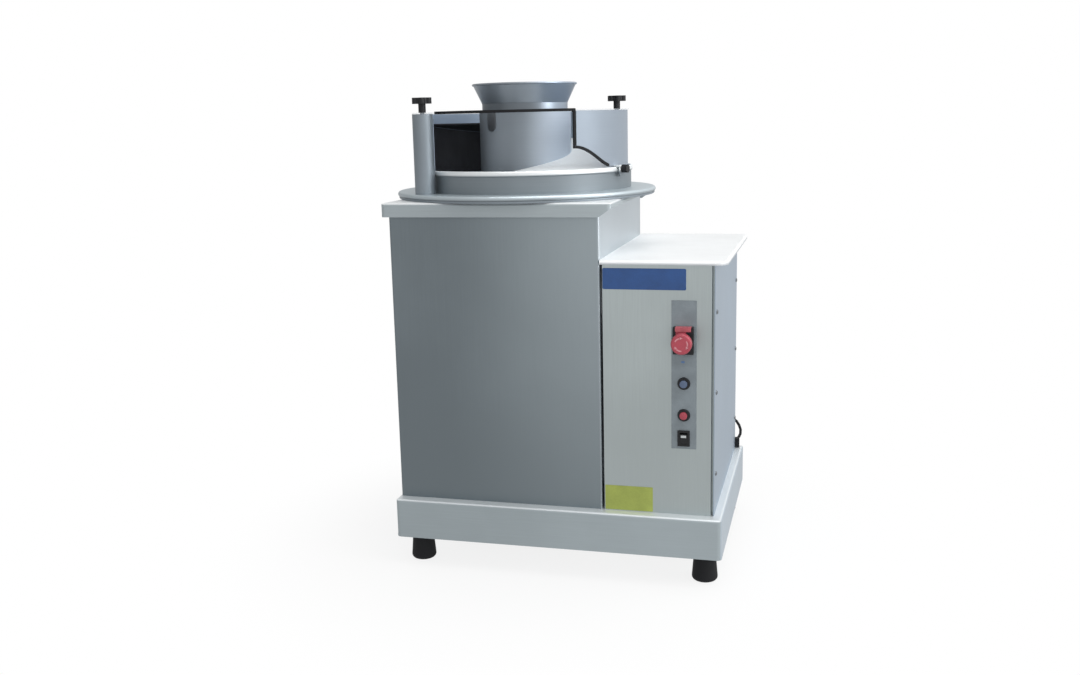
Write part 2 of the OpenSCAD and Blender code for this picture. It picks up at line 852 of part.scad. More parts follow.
// Rocker on a pin, with two flats that meet at an angle over it, at rest with its lower half in
module rocker_switch() {
    w = rocker_w - 2 * (rocker_rim + gap + rocker_wall + gap);
    h = rocker_h - 2 * (rocker_rim + gap + rocker_wall + rocker_play);
    rise = h / 2 * tan(rocker_tilt);
    face = rocker_t + 1;
    color(black) translate([strip_x, rocker_pivot_y, rocker_z]) rotate([rocker_tilt, 0, 0])
        rotate([90, 0, 90]) {
            linear_extrude(w, center = true)
                polygon([[4, -h / 2 + 3], [-face - rise, -h / 2], [-face, 0], [-face - rise, h / 2],
                         [4, h / 2 - 3]]);
            cylinder(r = rocker_pin_r, h = w + 2 * rocker_wall, center = true);
        }
}

module contact_blocks() {
    w = 30;
    h = 42;
    d = 40;
    color(black) for (z = [estop_z, start_z, stop_z]) {
        translate([strip_x - w / 2, front_y + barrel_l, z - h / 2]) cube([w, d, h]);
    }
}

// Plate that carries the switchgear on the inside of the control box's back
plate_w = 150;
plate_h = 90;
plate_y = back_y - sheet;
plate_z = ctl_z0 - plate_h - 20;

module electrics_plate() {
    color(dark_steel) translate([motor_x - plate_w / 2, plate_y - plate_t, plate_z])
        cube([plate_w, plate_t, plate_h]);
}

module contactor() {
    w = 46;
    d = 78;
    h = 72;
    face = 8;
    color(black) translate([motor_x - plate_w / 2 + 12, plate_y - plate_t - d, plate_z + 8]) {
        cube([w, d, h]);
        translate([6, -face, h / 4]) cube([w - 12, face, h / 2]);
    }
}

module terminal_block() {
    ways = 8;
    pitch = 8;
    d = 32;
    h = 48;
    color(steel) for (i = [0 : ways - 1]) {
        translate([motor_x + plate_w / 2 - 10 - (i + 1) * pitch, plate_y - plate_t - d, plate_z + 18])
            cube([pitch - gap, d, h]);
    }
}

module at_gear_bolts(z) {
    reach = gear_w / 2 - gear_bolt_in;
    for (sx = [-1, 1], sy = [-1, 1]) {
        translate([motor_x + sx * reach, motor_y + sy * reach, z]) children();
    }
}

// Table on four legs that carries the gearbox and motor below it
module motor_stand() {
    color(dark_steel) difference() {
        union() {
            translate([motor_x - stand_w / 2, motor_y - stand_d / 2, stand_z0])
                cube([stand_w, stand_d, stand_t]);
            for (x = [motor_x - stand_w / 2, motor_x + stand_w / 2 - leg_w],
                 y = [front_y + deck_margin - leg_w, back_y - deck_margin]) {
                translate([x, y, deck_z]) cube([leg_w, leg_w, stand_z0 - deck_z]);
            }
            for (x = [motor_x - stand_w / 2, motor_x + stand_w / 2 - leg_w]) {
                translate([x, front_y + deck_margin - leg_w, stand_z0])
                    cube([leg_w, back_y - front_y - 2 * deck_margin + 2 * leg_w, stand_t]);
            }
        }
        translate([motor_x, motor_y, stand_z0 - cut]) cylinder(r = 2.6 * output_r, h = stand_t + 2 * cut);
        at_gear_bolts(stand_z0 - cut) cylinder(r = bolt_r + run_gap, h = stand_t + 2 * cut);
    }
}

module gearbox() {
    head = 6;
    color(cast) difference() {
        union() {
            translate([motor_x - gear_w / 2, motor_y - gear_w / 2, gear_z0])
                linear_extrude(gear_h) soft_rect(gear_w, gear_w, gear_corner);
            translate([motor_x, motor_y, stand_z0]) cylinder(r = 2.5 * output_r, h = stand_t - cut);
            at_gear_bolts(stand_z0 - cut) cylinder(r = bolt_r, h = stand_t + head + cut);
            at_gear_bolts(stand_z1) cylinder(r = 1.8 * bolt_r, h = head, $fn = 6);
        }
        translate([motor_x, motor_y, gear_z0 + gear_h / 2])
            cylinder(r = output_r + run_gap, h = gear_h / 2 + stand_t + cut);
    }
}

module motor_body() {
    fins = 16;
    fin_t = 3;
    fin_w = motor_r - motor_core + 4;
    fin_z = 20;
    flange_h = 14;
    box_w = 68;
    box_h = 70;
    color(cast) translate([motor_x, motor_y, motor_z0]) {
        cylinder(r = motor_core, h = motor_l);
        translate([0, 0, motor_l - flange_h]) cylinder(r = motor_r, h = flange_h);
        for (i = [0 : fins - 1]) {
            rotate([0, 0, i * 360 / fins]) translate([motor_r - fin_w, -fin_t / 2, fin_z])
                cube([fin_w, fin_t, motor_l - fin_z - flange_h / 2]);
        }
        translate([motor_core, -box_w / 2, 3 * fin_z]) cube([motor_r - motor_core + 16, box_w, box_h]);
    }
}

module fan_cover() {
    cover_h = 30;
    vents = 10;
    color(dark_steel) translate([motor_x, motor_y, motor_z0 - cover_h + 18]) difference() {
        cylinder(r = motor_core + run_gap + sheet, h = cover_h);
        translate([0, 0, sheet]) cylinder(r = motor_core + run_gap, h = cover_h);
        translate([0, 0, -cut]) cylinder(r = 10, h = cover_h);
        for (i = [0 : vents - 1]) {
            rotate([0, 0, i * 360 / vents]) translate([22, -4, -cut]) cube([32, 8, 4]);
        }
    }
}

module output_shaft() {
    z0 = gear_z0 + gear_h / 2 + gap;
    color(steel) translate([motor_x, motor_y, z0]) cylinder(r = output_r, h = belt_z + pulley_w / 2 + 6 - z0);
}

// Pulley with a square belt groove: belt_run is the radius at the middle of the belt
module pulley(belt_run, bore_r, hub_up) {
    groove_r = belt_run - belt_t / 2 - gap;
    rotate_extrude() {
        translate([bore_r, -pulley_w / 2]) square([groove_r - bore_r, pulley_w]);
        for (s = [-1, 1]) {
            y0 = s > 0 ? belt_w / 2 + gap : -pulley_w / 2;
            translate([groove_r, y0]) square([belt_t + flange_out, (pulley_w - belt_w) / 2 - gap]);
        }
        translate([bore_r, pulley_w / 2]) square([bore_r * 0.8, hub_up]);
    }
}

module drive_pulley() {
    color(dark_steel) translate([motor_x, motor_y, belt_z]) pulley(drive_r, output_r + run_gap, 4);
}

module driven_pulley() {
    holes = 5;
    color(dark_steel) on_head(belt_z) difference() {
        pulley(driven_r, shaft_r + run_gap, 14);
        for (i = [0 : holes - 1]) {
            rotate([0, 0, i * 360 / holes]) translate([driven_r * 0.58, 0, -pulley_w])
                cylinder(r = driven_r * 0.2, h = 2 * pulley_w);
        }
    }
}

// Outline of the belt's run at an offset from its middle line: two arcs and their tangents
module belt_outline(off) {
    span = motor_x - head_x;
    lean = acos((driven_r - drive_r) / span);
    r0 = driven_r + off;
    r1 = drive_r + off;
    circle(r0);
    translate([span, 0]) circle(r1);
    polygon([r0 * dir(lean), r0 * dir(-lean), [span, 0] + r1 * dir(-lean), [span, 0] + r1 * dir(lean)]);
}

module drive_belt() {
    color(black) on_head(belt_z - belt_w / 2) linear_extrude(belt_w) difference() {
        belt_outline(belt_t / 2);
        belt_outline(-belt_t / 2);
    }
}

module drive_shaft() {
    color(steel) on_head(shaft_z0) cylinder(r = shaft_r, h = table_z + cone_h - shaft_z0);
}

module shaft_collar() {
    color(dark_steel) on_head(lower_z1 + bearing_h + gap) difference() {
        cylinder(r = 2 * shaft_r, h = collar_h);
        translate([0, 0, -cut]) cylinder(r = shaft_r + run_gap, h = collar_h + 2 * cut);
    }
}

// Spun turntable: a shallow dish with a cone in the middle, on a hub
module turntable() {
    skin = 4;
    cone_r = tube_r - 25;
    shoulder = table_z + table_rise;
    color(steel) on_head() rotate_extrude() {
        polygon([[shaft_r + run_gap, disc_z1 - 6], [hub_r, disc_z1 - 6], [hub_r, table_z - skin],
                 [table_r, table_z - skin], [table_r, table_z], [tube_r, shoulder], [cone_r, shoulder + 2],
                 [2 * shaft_r, table_z + cone_h], [shaft_r + run_gap, table_z + cone_h]]);
    }
}

module turntable_nut() {
    cap_h = 16;
    color(steel) on_head(table_z + cone_h) intersection() {
        cylinder(r = 1.7 * shaft_r, h = cap_h);
        translate([0, 0, cap_h - 3 * shaft_r]) sphere(3 * shaft_r);
    }
}

// Spun base disc: seated on the cabinet top in the middle, stepped up to a rolled rim
module base_disc() {
    skin = 3;
    rim_r = disc_r - disc_bead;
    color(steel) on_head() rotate_extrude() {
        polygon([[hole_r, slab_z1], [disc_seat_r, slab_z1], [disc_step_r, disc_z1 - skin],
                 [rim_r, disc_z1 - skin], [rim_r, disc_z1], [disc_step_r - 2, disc_z1],
                 [disc_seat_r - 2, slab_z1 + skin], [hole_r, slab_z1 + skin]]);
        translate([rim_r, disc_z0 + disc_bead]) circle(disc_bead);
    }
}

module bowl_ring() {
    color(steel) on_head() rotate_extrude() {
        translate([ring_in, disc_z1]) square([ring_t, ring_h - lip_t / 2]);
        translate([ring_in, lip_z - lip_h + lip_t / 2]) square([lip_t, lip_h - lip_t]);
        for (z = [lip_z - lip_h + lip_t / 2, lip_z - lip_t / 2]) {
            translate([ring_in + lip_t / 2, z]) circle(lip_t / 2);
        }
    }
}

// Outline of all that lies below the guard's falling edge
module cut_outline() {
    steps = 18;
    low = -2 * ring_h;
    edge = [for (i = [0 : steps]) let (t = -cut_half + i * 2 * cut_half / steps) [t, cut_at(t)]];
    polygon(concat(edge, [[cut_half, low], [-cut_half, low]]));
}

// Guard round the bowl inside the ring, open at the front, with its outlet cut in a falling curve
module guard_wall() {
    color(steel) on_head() difference() {
        translate([0, 0, wall_z0]) linear_extrude(wall_z1 - wall_z0) difference() {
            annulus(wall_r, wall_r - wall_t);
            wedge(open_left, open_right, 2 * wall_r);
        }
        translate([0, 0, lip_z]) radial(cut_mid, wall_r / 2, 2 * wall_r) cut_outline();
    }
}

// Black channel over the guard's cut edge: down its upright and along its falling curve
module guard_trim() {
    out_r = wall_r + trim_play;
    in_r = wall_r - wall_t - trim_play;
    side = (trim_t - wall_t) / 2;
    over = trim_w / 3;
    up = trim_w - over;
    last = cut_end - trim_short;
    first = open_right - 360 * over / (2 * PI * wall_r);
    steps = 14;
    corner_z = lip_z + cut_up + up + run_gap;
    profile = [[in_r - side, up], [in_r, up], [in_r, -2 * trim_play], [out_r, -2 * trim_play],
               [out_r, up], [out_r + side, up], [out_r + side, -over], [in_r - side, -over]];
    color(black) on_head() {
        loft([for (i = [0 : steps])
            let (a = first + i * (last - first) / steps, z = lip_z + cut_at(wall_r * sin(a - cut_mid)))
            [for (p = profile) [p[0] * cos(a), p[0] * sin(a), z + p[1]]]]);
        translate([0, 0, corner_z]) linear_extrude(wall_z1 - corner_z) rotate([0, 0, open_right])
            difference() {
                translate([in_r - side, -over]) square([out_r - in_r + 2 * side, trim_w]);
                translate([in_r, -trim_play]) square([out_r - in_r, trim_w]);
            }
    }
}

// Solid through a row of outlines with the same number of points each, which run round
// the way of travel by the right-hand rule
module loft(rings) {
    n = len(rings[0]);
    last = len(rings) - 1;
    sides = [for (i = [0 : last - 1], k = [0 : n - 1])
        let (p = n * i + k, q = n * i + (k + 1) % n)
        each [[p, p + n, q], [q, p + n, q + n]]];
    ends = [[for (k = [0 : n - 1]) k], [for (k = [n - 1 : -1 : 0]) n * last + k]];
    polyhedron([for (ring = rings) each ring], concat(sides, ends));
}

// Upright section of a strip at one azimuth: its top runs from r0, z0 to r1, z1 and it is t deep
function section_at(a, r0, z0, r1, z1, t) =
    [for (p = [[r0, z0 - t], [r0, z0], [r1, z1], [r1, z1 - t]]) [p[0] * cos(a), p[0] * sin(a), p[1]]];

// Fixed spiral track round the feed tube that the dough rolls along, banked towards the outlet
module spiral_track() {
    steps = 54;
    step_a = (track_a1 - track_a0) / steps;
    in_r = (tube_r + run_gap) / cos(step_a / 2);
    color(steel) on_head() loft([for (i = [0 : steps])
        let (a = track_a0 + i * step_a)
        section_at(a, in_r, track_at(a), track_r, track_edge_at(a), plate_t)]);
}

// Black liner on the guard's inside, below the spiral track
module wall_liner() {
    steps = 26;
    last = 360 + open_left - trim_a;
    color(black) on_head() loft([for (i = [0 : steps])
        let (a = liner_a0 + i * (last - liner_a0) / steps, top = track_at(a) - plate_t - gap)
        section_at(a, liner_r - liner_t, top, liner_r, top, top - tube_z0)]);
}

// Round post with a threaded hole in its top
module post(a) {
    color(steel) on_head() at_post(a) difference() {
        translate([0, 0, disc_z1]) cylinder(r = post_r, h = wall_z1 - run_gap - disc_z1);
        translate([0, 0, wall_z1 - stud_in - 2]) cylinder(r = stud_r + run_gap, h = stud_in + 2 + cut);
    }
}

module front_post() {
    post(front_a);
}

module rear_post() {
    post(post_a);
}

// Flat clear lid with an ear over each post and a round opening for the hopper's neck
module lid_plate() {
    color(clear) on_head(wall_z1) linear_extrude(lid_t) difference() {
        union() {
            circle(lid_r);
            rotate([0, 0, post_a]) {
                translate([-post_c, -ear_w / 2]) square([2 * post_c, ear_w]);
                for (s = [-1, 1]) {
                    translate([s * post_c, 0]) circle(post_r);
                }
            }
        }
        circle(neck_r + run_gap);
        for (s = [-1, 1]) {
            translate(s * post_c * dir(post_a)) circle(stud_r + run_gap);
        }
    }
}

// Black channel over the lid's front edge, between the front post and the guard's cut edge
module lid_trim() {
    clear_left = asin((ear_w / 2 + 2 * gap) / lid_r);
    clear_right = 2 * trim_a;
    above = trim_w / 3;
    color(black) on_head() difference() {
        translate([0, 0, lid_z1 + above - trim_w]) linear_extrude(trim_w) intersection() {
            annulus(lid_r + 2, lid_r - trim_t);
            wedge(front_a + clear_left, open_right - clear_right, 2 * lid_r);
        }
        translate([0, 0, wall_z1 - run_gap]) cylinder(r = lid_r + run_gap, h = lid_t + 2 * run_gap);
    }
}

// Feed tube with an arched doorway that lets the dough out onto the turntable behind
module feed_tube() {
    door_a = 150;
    door_w = 110;
    door_h = 78;
    color(steel) on_head() difference() {
        translate([0, 0, tube_z0]) linear_extrude(wall_z1 - tube_z0) annulus(tube_r, tube_r - tube_t);
        translate([0, 0, tube_z0]) radial(door_a, tube_r / 2, 2 * tube_r) {
            translate([0, door_h - door_w / 2]) circle(door_w / 2);
            translate([-door_w / 2, -cut]) square([door_w, door_h - door_w / 2 + cut]);
        }
    }
}

// Hopper with a straight neck through the lid and a beaded mouth
module hopper() {
    drop = 12;
    z0 = wall_z1 - drop;
    z1 = lid_z1 + neck_h;
    z2 = z1 + hopper_h - 2 * mouth_bead;
    color(steel) on_head() rotate_extrude() {
        polygon([[neck_r - hopper_t, z0], [neck_r, z0], [neck_r, z1], [mouth_r - mouth_bead, z2],
                 [mouth_r - mouth_bead - hopper_t, z2], [neck_r - hopper_t, z1]]);
        translate([mouth_r - mouth_bead, z2 + mouth_bead / 2]) circle(mouth_bead);
    }
}

// Rounded tab that hangs from the lid on the front of the feed tube
module tube_clip() {
    r0 = tube_r + run_gap;
    color(steel) on_head() rotate([0, 0, clip_a]) intersection() {
        translate([0, 0, wall_z1 - clip_h]) linear_extrude(clip_h) annulus(r0 + plate_t, r0);
        translate([0, 0, wall_z1]) radial(0, tube_r / 2, 2 * tube_r) {
            translate([0, clip_w / 2 - clip_h]) circle(clip_w / 2);
            translate([-clip_w / 2, clip_w / 2 - clip_h]) square([clip_w, clip_h - clip_w / 2]);
        }
    }
}

// Lobed clamp knob on a stem, with a stud through the lid's ear into the post
module clamp_knob(a) {
    lobes = 6;
    lobe_r = 7;
    color(black) on_head(lid_z1 + run_gap) at_post(a) {
        cylinder(r = stem_r, h = stem_h);
        translate([0, 0, stem_h]) linear_extrude(knob_h) {
            circle(knob_r - lobe_r + 2);
            for (i = [0 : lobes - 1]) {
                translate((knob_r - lobe_r) * dir(i * 360 / lobes)) circle(lobe_r);
            }
        }
        translate([0, 0, -lid_t - stud_in]) cylinder(r = stud_r, h = lid_t + stud_in + cut);
    }
}

module front_knob() {
    clamp_knob(front_a);
}

module rear_knob() {
    clamp_knob(post_a);
}

// Bent tab on the guard's foot that hooks over the ring's lip
latch_w = 24;
latch_drop = 20;
latch_out = 4;
latch_z = lip_z - 4;
latch_r0 = ring_r + latch_out;
latch_pin_r = 3;

module latch_bracket() {
    color(steel) on_head() rotate([0, 0, latch_a]) difference() {
        union() {
            translate([wall_r + gap, -latch_w / 2, lip_z + gap])
                cube([latch_r0 + plate_t - wall_r - gap, latch_w, plate_t]);
            translate([latch_r0, -latch_w / 2, lip_z - latch_drop])
                cube([plate_t, latch_w, latch_drop + gap + plate_t]);
        }
        translate([wall_r, 0, latch_z]) rotate([0, 90, 0]) cylinder(r = latch_pin_r + run_gap, h = 4 * lip_t);
    }
}

module latch_knob() {
    flutes = 8;
    head = 13;
    color(black) on_head() rotate([0, 0, latch_a]) translate([latch_r0 - latch_out + gap, 0, latch_z])
        rotate([0, 90, 0]) {
            cylinder(r = latch_pin_r, h = latch_out + plate_t + 2 * gap);
            translate([0, 0, latch_out + plate_t]) linear_extrude(head) difference() {
                circle(latch_r);
                for (i = [0 : flutes - 1]) {
                    translate((latch_r + 1) * dir(i * 360 / flutes)) circle(2.2);
                }
            }
        }
}

// Ring of points round one point of the cable's route
function along(i) =
    let (last = len(cable_pts) - 1, d = cable_pts[min(i + 1, last)] - cable_pts[max(i - 1, 0)]) d / norm(d);
function cable_ring(i) =
    let (t = along(i), u = cross(t, [1, 0, 0]) / norm(cross(t, [1, 0, 0])), v = cross(t, u))
    [for (k = [0 : cable_sides - 1])
        let (a = k * 360 / cable_sides) cable_pts[i] + cable_r * (cos(a) * u + sin(a) * v)];

// Short lead from a gland in the control box's back to a clamp on the plinth's ledge
module service_cable() {
    start = cable_pts[0];
    end = cable_pts[len(cable_pts) - 1];
    color(black) translate([ctl_x1, back_y, deck_z]) {
        loft([for (i = [0 : len(cable_pts) - 1]) cable_ring(i)]);
        translate([start[0], 0, start[2]]) rotate([-90, 0, 0]) {
            cylinder(r = gland_r, h = gland_l / 2);
            cylinder(r1 = gland_r * 0.8, r2 = cable_r + 1, h = gland_l);
        }
        translate([end[0] - clamp_w / 2, 2 * gap, 0]) cube([clamp_w, clamp_d, clamp_h]);
    }
}

seat() base_pan();
seat() rubber_feet();
seat() foot_studs();
seat() cabinet_wrap();
seat() cabinet_back();
seat() top_slab();
seat() upper_bridge();
seat() lower_bridge();
seat() upper_bearing();
seat() lower_bearing();
seat() bearing_bolts();
seat() control_front();
seat() side_cover();
seat() side_screws();
seat() control_back();
seat() control_top();
seat() control_strip();
seat() estop_housing();
seat() estop_stem();
seat() estop_cap();
seat() start_bezel();
seat() start_button();
seat() stop_bezel();
seat() stop_button();
seat() rocker_frame();
seat() rocker_switch();
seat() contact_blocks();
seat() electrics_plate();
seat() contactor();
seat() terminal_block();
seat() motor_stand();
seat() gearbox();
seat() motor_body();
seat() fan_cover();
seat() output_shaft();
seat() drive_pulley();
seat() drive_belt();
seat() driven_pulley();
seat() drive_shaft();
seat() shaft_collar();
seat() turntable();
seat() turntable_nut();
seat() base_disc();
seat() bowl_ring();
seat() guard_wall();
seat() guard_trim();
seat() wall_liner();
seat() front_post();
seat() rear_post();
seat() lid_plate();
seat() lid_trim();
seat() feed_tube();
seat() hopper();
seat() tube_clip();
seat() spiral_track();
seat() front_knob();
seat() rear_knob();
seat() latch_bracket();
seat() latch_knob();
seat() service_cable();
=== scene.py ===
"""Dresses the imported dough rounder: camera, studio, finishes and its small added pieces."""

import math

import bmesh
import bpy
from mathutils import Matrix, Vector


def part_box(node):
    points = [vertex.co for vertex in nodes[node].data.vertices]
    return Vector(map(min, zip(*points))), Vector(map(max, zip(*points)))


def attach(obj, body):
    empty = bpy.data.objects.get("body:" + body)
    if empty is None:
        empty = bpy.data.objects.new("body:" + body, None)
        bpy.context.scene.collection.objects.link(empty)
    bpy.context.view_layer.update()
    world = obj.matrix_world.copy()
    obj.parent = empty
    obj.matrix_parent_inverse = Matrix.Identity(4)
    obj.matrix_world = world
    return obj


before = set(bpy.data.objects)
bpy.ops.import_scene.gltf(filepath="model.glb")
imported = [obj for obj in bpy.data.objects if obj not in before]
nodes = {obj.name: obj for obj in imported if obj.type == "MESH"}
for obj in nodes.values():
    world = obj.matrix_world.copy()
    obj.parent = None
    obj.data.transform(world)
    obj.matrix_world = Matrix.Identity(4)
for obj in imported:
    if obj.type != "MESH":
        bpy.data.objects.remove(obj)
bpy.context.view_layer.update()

# The plinth's front left bottom corner and the bowl's axis, in the frame's metres
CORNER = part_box("base_pan")[0]
RING_LOW, RING_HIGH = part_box("bowl_ring")
HEAD = Vector(((RING_LOW.x + RING_HIGH.x) / 2, (RING_LOW.y + RING_HIGH.y) / 2, 0.0))


def spot(x, y, z):
    """A point given from the plinth's corner in millimetres, in the frame's metres."""
    return CORNER + Vector((x, y, z)) / 1000


# Shaders

# The sockets of a Mix node that carry colours
MIX_LOW, MIX_HIGH, MIX_RESULT = 6, 7, 2


def feed(tree, socket, value):
    """Links a wire to a socket, or sets the socket's own value."""
    if isinstance(value, Wire):
        tree.links.new(value.socket, socket)
    else:
        socket.default_value = value


class Wire:
    """A shader socket: arithmetic on it adds Math nodes, and node() adds any other node."""

    def __init__(self, tree, socket=None):
        self.tree = tree
        self.socket = socket

    def node(self, kind, settings=None, inputs=None, out=0):
        """Adds a node with its settings and what its sockets take, and gives one of its outputs."""
        made = self.tree.nodes.new(kind)
        for name, value in (settings or {}).items():
            setattr(made, name, value)
        for name, value in (inputs or {}).items():
            feed(self.tree, made.inputs[name], value)
        return Wire(self.tree, made.outputs[out])

    def math(self, operation, *others):
        """A Math node on this value and others."""
        return self.node("ShaderNodeMath", {"operation": operation},
                         dict(enumerate((self, *others))))

    def flip(self, operation, other):
        """A Math node with this value in second place."""
        return self.node("ShaderNodeMath", {"operation": operation}, {0: other, 1: self})

    def __add__(self, other):
        return self.math("ADD", other)

    def __sub__(self, other):
        return self.math("SUBTRACT", other)

    def __mul__(self, other):
        return self.math("MULTIPLY", other)

    def __radd__(self, other):
        return self.flip("ADD", other)

    def __rsub__(self, other):
        return self.flip("SUBTRACT", other)

    def __rmul__(self, other):
        return self.flip("MULTIPLY", other)

    def clamp(self, low=0.0, high=1.0):
        return self.math("MAXIMUM", low).math("MINIMUM", high)

    def between(self, low, high):
        """0 below low, 1 above high, smooth between."""
        return self.node("ShaderNodeMapRange", {"interpolation_type": "SMOOTHSTEP"},
                         {"Value": self, "From Min": low, "From Max": high})

    def mix(self, low, high):
        """A colour between two, by this value."""
        return self.node("ShaderNodeMix", {"data_type": "RGBA"},
                         {"Factor": self, MIX_LOW: low, MIX_HIGH: high}, out=MIX_RESULT)

    def around(self, colour, darker, lighter):
        """A colour between a darker and a lighter share of it, by this value."""
        return self.mix((*[c * darker for c in colour], 1), (*[c * lighter for c in colour], 1))

    def ray(self, kind):
        """1 for the rays of one kind, 0 for others."""
        return self.node("ShaderNodeLightPath", out=kind)


class Finish:
    """A material under construction: its tree, its Object coordinates and its shader."""

    def __init__(self, name, colour, rough, metal=0.0, **fixed):
        self.made = bpy.data.materials.new(name)
        self.made.use_nodes = True
        self.tree = self.made.node_tree
        self.shader = self.tree.nodes["Principled BSDF"]
        self.any = Wire(self.tree)
        self.here = self.any.node("ShaderNodeTexCoord", out="Object")
        self.set("Base Color", (*colour, 1))
        self.set("Roughness", rough)
        self.set("Metallic", metal)
        for socket, value in fixed.items():
            self.set(socket.replace("_", " "), value)

    def set(self, socket, value):
        """Feeds one of the shader's own sockets."""
        feed(self.tree, self.shader.inputs[socket], value)

    def stretched(self, size, origin=(0, 0, 0)):
        """Object coordinates from an origin, scaled on each axis."""
        return self.any.node("ShaderNodeMapping", inputs={
            "Vector": self.here, "Location": [-o * s for o, s in zip(origin, size)], "Scale": size})

    def noise(self, where, scale, detail, rough):
        return self.any.node("ShaderNodeTexNoise", inputs={
            "Vector": where, "Scale": scale, "Detail": detail, "Roughness": rough})

    def axes(self, where=None):
        """The three coordinates of a place, each as a value."""
        split = self.any.node("ShaderNodeSeparateXYZ", inputs={0: where or self.here})
        return [Wire(self.tree, socket) for socket in split.socket.node.outputs]

    def bump(self, height, strength, distance):
        self.set("Normal", self.any.node("ShaderNodeBump", inputs={
            "Height": height, "Strength": strength, "Distance": distance}))


# Zones of a finish, which paint light and shade into its colour, each a colour with an axis of the frame
# and where the zone starts and is full

ACROSS, UP = 0, 2
# How far before a folded edge the face beyond it starts to take its painted light and has it in full, in
# metres
FOLD_START, FOLD_FULL = 0.004, 0.001


def reach(node, axis, start, full):
    """A zone along a solid, its start and full place in millimetres from the solid's low end."""
    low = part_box(node)[0][axis]
    return axis, low + start / 1000, low + full / 1000


def folded(node, axis):
    """The zone of the face that a solid's sheet folds round to, at its right or its top, where it is
    painted as lit.
    """
    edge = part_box(node)[1][axis]
    return axis, edge - FOLD_START, edge - FOLD_FULL


def paint_light_zones(place, shade, tone, zones):
    """Lays the painted light and shade of zones over a tone."""
    for colour, axis, start, full in zones:
        tone = place[axis].between(start, full).mix(tone, shade.around(colour, 0.93, 1.06))
    return tone


# Kinds of finish

# Heights between which painted shade at the foot gives way to the full tone, in metres
FOOT_SHADE_LOW, FOOT_SHADE_HIGH = 0.05, 0.75
# How fine the marks of turning are, and how slowly they change round the bowl
RING_FINE, RING_SLOW = 900.0, 3.0
# How much coarser mottling is than grit
MOTTLE_COARSE = 22


def brushed(name, colour, rough, grain, foot_shade=0.0, zones=(), metal=1.0):
    """Brushed sheet: fine grain along one axis, cloudy handling marks, slow drifts, and painted shade
    darkening the foot.
    """
    f = Finish(name, colour, rough, metal)
    streaks = f.noise(f.stretched(grain), scale=1.0, detail=4.0, rough=0.65)
    clouds = f.noise(f.here, scale=4.5, detail=3.0, rough=0.55)
    elsewhere = f.stretched((1.0, 1.0, 1.0), origin=(3.1, 0.4, 1.7))
    drift = f.noise(elsewhere, scale=1.9, detail=1.0, rough=0.4)
    smears = f.noise(f.stretched((9.0, 9.0, 2.2)), scale=1.0, detail=2.0, rough=0.5)
    shade = 0.24 * streaks + 0.34 * clouds + 0.42 * drift
    place = f.axes()
    # Painted shade: the sheet is darkened towards the foot
    if foot_shade:
        shade = shade - (1 - place[UP].between(FOOT_SHADE_LOW, FOOT_SHADE_HIGH)) * foot_shade
    shade = shade.between(0.25, 0.75)
    f.set("Base Color", paint_light_zones(place, shade, shade.around(colour, 0.86, 1.12), zones))
    f.set("Roughness", (rough - 0.1 + 0.1 * streaks + 0.1 * smears).clamp(0.12, 0.9))
    f.bump(streaks, strength=0.06, distance=0.0004)
    return f.made


def spun(name, colour, rough, metal, zones=()):
    """Turned steel: fine rings about the bowl's axis, with soft handling marks over them."""
    f = Finish(name, colour, rough, metal)
    x, y, z = f.axes(f.stretched((1, 1, 1), origin=HEAD))
    radius = (x * x + y * y).math("SQRT")
    turned = f.any.node("ShaderNodeCombineXYZ", inputs={
        0: radius * RING_FINE, 1: z * RING_FINE, 2: (x + y) * RING_SLOW})
    rings = f.noise(turned, scale=1.0, detail=3.0, rough=0.6)
    clouds = f.noise(f.here, scale=7.0, detail=3.0, rough=0.55)
    shade = (0.4 * rings + 0.6 * clouds).between(0.2, 0.8)
    f.set("Base Color", paint_light_zones(f.axes(), shade, shade.around(colour, 0.9, 1.08), zones))
    f.set("Roughness", (rough - 0.07 + 0.08 * rings + 0.08 * clouds).clamp(0.08, 0.9))
    f.bump(rings, strength=0.06, distance=0.0003)
    return f.made


def moulded(name, colour, rough, grit, relief, **fixed):
    """Moulded or coated surface: a fine grit in relief, slight mottling and worn sheen."""
    f = Finish(name, colour, rough, **fixed)
    grains = f.noise(f.here, scale=grit, detail=2.0, rough=0.6)
    mottle = f.noise(f.here, scale=grit / MOTTLE_COARSE, detail=3.0, rough=0.5)
    shade = (0.4 * grains + 0.6 * mottle).between(0.2, 0.8)
    f.set("Base Color", shade.around(colour, 0.8, 1.2))
    f.set("Roughness", (rough - 0.08 + 0.16 * mottle).clamp(0.05, 1.0))
    f.bump(grains, strength=relief, distance=0.0003)
    return f.made


def clear(name, colour, rough, cover):
    """Clear sheet: mostly see-through, with fine scratches that catch the light and a dusty bloom."""
    f = Finish(name, colour, rough)
    scratches = f.noise(f.stretched((35.0, 700.0, 35.0)), scale=1.0, detail=3.0, rough=0.6)
    bloom = f.noise(f.here, scale=6.0, detail=3.0, rough=0.5)
    f.set("Alpha", (cover + 0.12 * scratches.between(0.55, 0.8) + 0.08 * bloom).clamp())
    f.set("Roughness", (rough + 0.2 * bloom.between(0.45, 0.75)).clamp())
    f.bump(scratches, strength=0.03, distance=0.0002)
    return f.made


# The finishes of this machine

# How fine the grain is along each axis: drawn upright, drawn from side to side, or the same all round
UPRIGHT = (520.0, 520.0, 9.0)
LEVEL = (9.0, 520.0, 520.0)
EVEN = (300.0, 300.0, 300.0)

